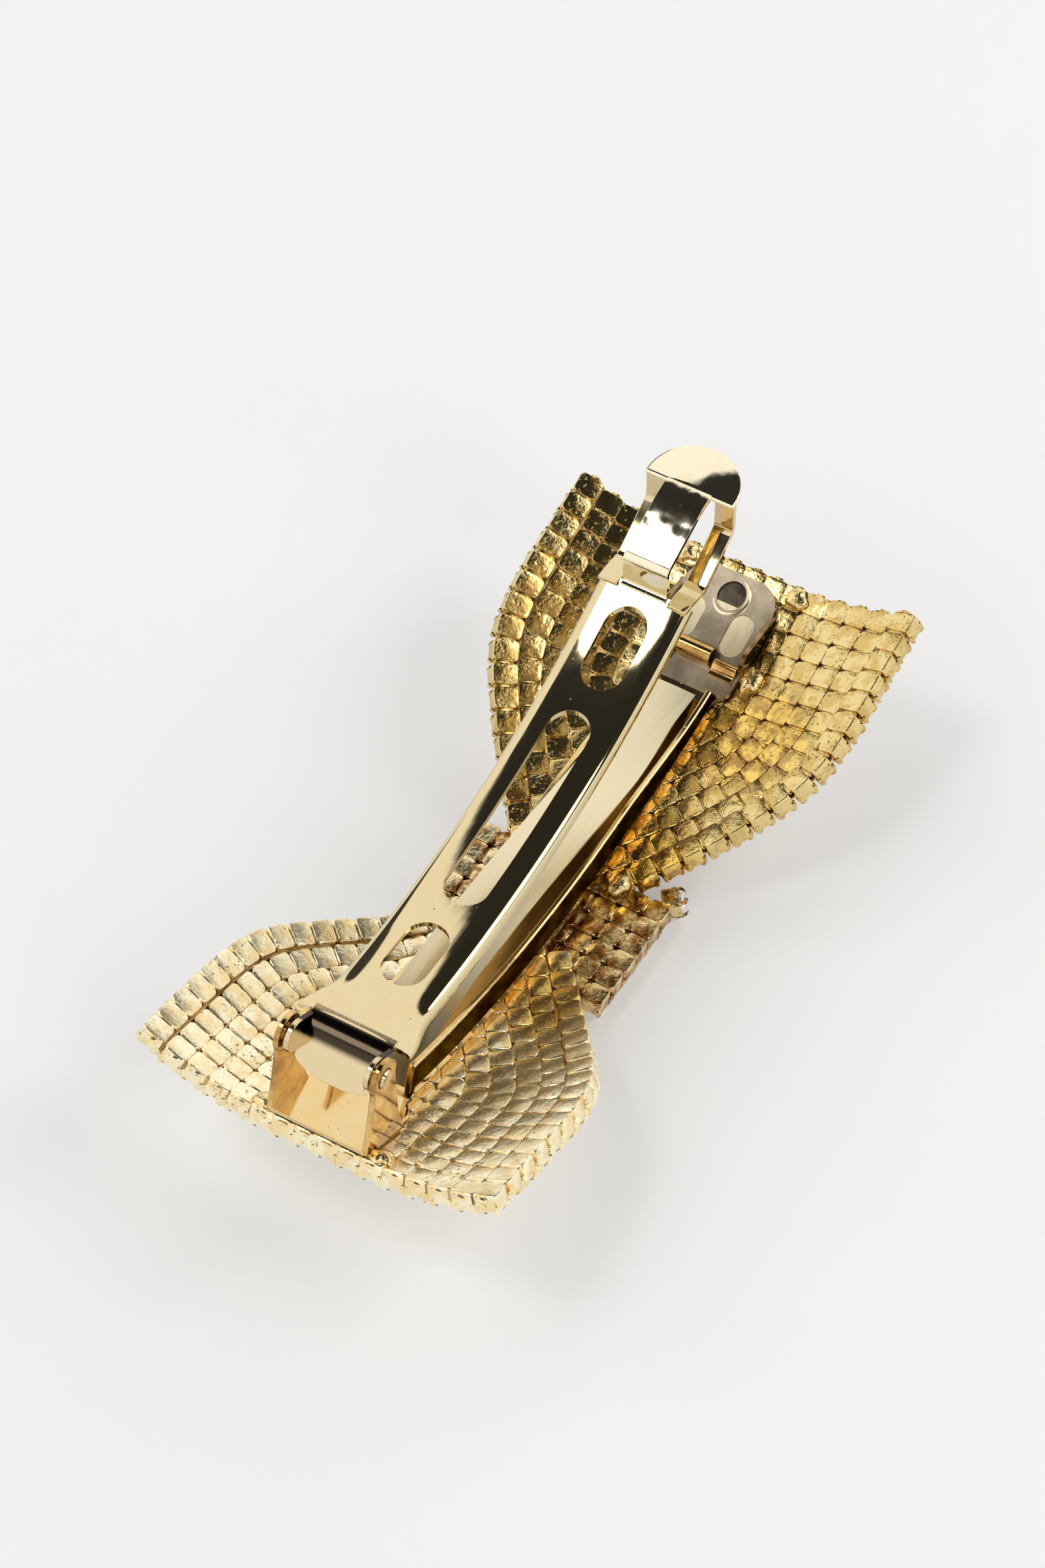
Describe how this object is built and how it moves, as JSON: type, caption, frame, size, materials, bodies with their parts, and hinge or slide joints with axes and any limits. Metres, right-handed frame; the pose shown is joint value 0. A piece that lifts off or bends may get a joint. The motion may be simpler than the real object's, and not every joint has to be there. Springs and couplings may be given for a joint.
{
  "type": "rhinestone bow hair clip",
  "caption": "Bow-shaped rhinestone cup-chain hair clip on a sprung metal barrette whose slotted lever swings open to take hair.",
  "frame": {"origin": "middle of the bow on the surface it lies face down on, below the knot", "axes": "+X from the hinge end to the catch end, +Y to the bow's left side seen from the hinge end, +Z out of the bow's back toward the lever"},
  "size_m": [0.086, 0.0406, 0.0389],
  "materials": {
    "base_sheet": "polished pale gold plate",
    "lever_sheet": "polished pale gold plate",
    "spring_leaf": "gold-washed spring steel",
    "cup_chain": "gold-plated cups holding clear faceted stones",
    "solder": "bright solder, partly plated over"
  },
  "bodies": {
    "clip_base": {"base_plate": "base_sheet", "tension_spring": "spring_leaf", "corner_cup": "cup_chain", "strand_hinge_right_1": "cup_chain", "strand_hinge_right_2": "cup_chain", "strand_hinge_right_3": "cup_chain", "strand_hinge_right_4": "cup_chain", "strand_hinge_right_5": "cup_chain", "strand_hinge_right_6": "cup_chain", "strand_hinge_right_7": "cup_chain", "strand_hinge_right_8": "cup_chain", "strand_hinge_left_1": "cup_chain", "strand_hinge_left_2": "cup_chain", "strand_hinge_left_3": "cup_chain", "strand_hinge_left_4": "cup_chain", "strand_hinge_left_5": "cup_chain", "strand_hinge_left_6": "cup_chain", "strand_hinge_left_7": "cup_chain", "strand_hinge_left_8": "cup_chain", "strand_catch_right_1": "cup_chain", "strand_catch_right_2": "cup_chain", "strand_catch_right_3": "cup_chain", "strand_catch_right_4": "cup_chain", "strand_catch_right_5": "cup_chain", "strand_catch_right_6": "cup_chain", "strand_catch_right_7": "cup_chain", "strand_catch_right_8": "cup_chain", "strand_catch_left_1": "cup_chain", "strand_catch_left_2": "cup_chain", "strand_catch_left_3": "cup_chain", "strand_catch_left_4": "cup_chain", "strand_catch_left_5": "cup_chain", "strand_catch_left_6": "cup_chain", "strand_catch_left_7": "cup_chain", "strand_catch_left_8": "cup_chain", "knot_strand_1": "cup_chain", "knot_strand_2": "cup_chain", "knot_strand_3": "cup_chain", "knot_strand_4": "cup_chain", "knot_strand_5": "cup_chain", "knot_strand_6": "cup_chain", "solder_hinge_right": "solder", "solder_hinge_left": "solder", "solder_catch_right": "solder", "solder_catch_left": "solder"},
    "lever": {"lever": "lever_sheet"}
  },
  "joints": [
    {"name": "lever_hinge", "type": "hinge", "parent": "clip_base", "child": "lever", "pos_m": [-0.0383, 0, 0.02299], "axis": [0, -1, 0], "range_deg": [-18, 60], "deforming": ["tension_spring"]}
  ]
}
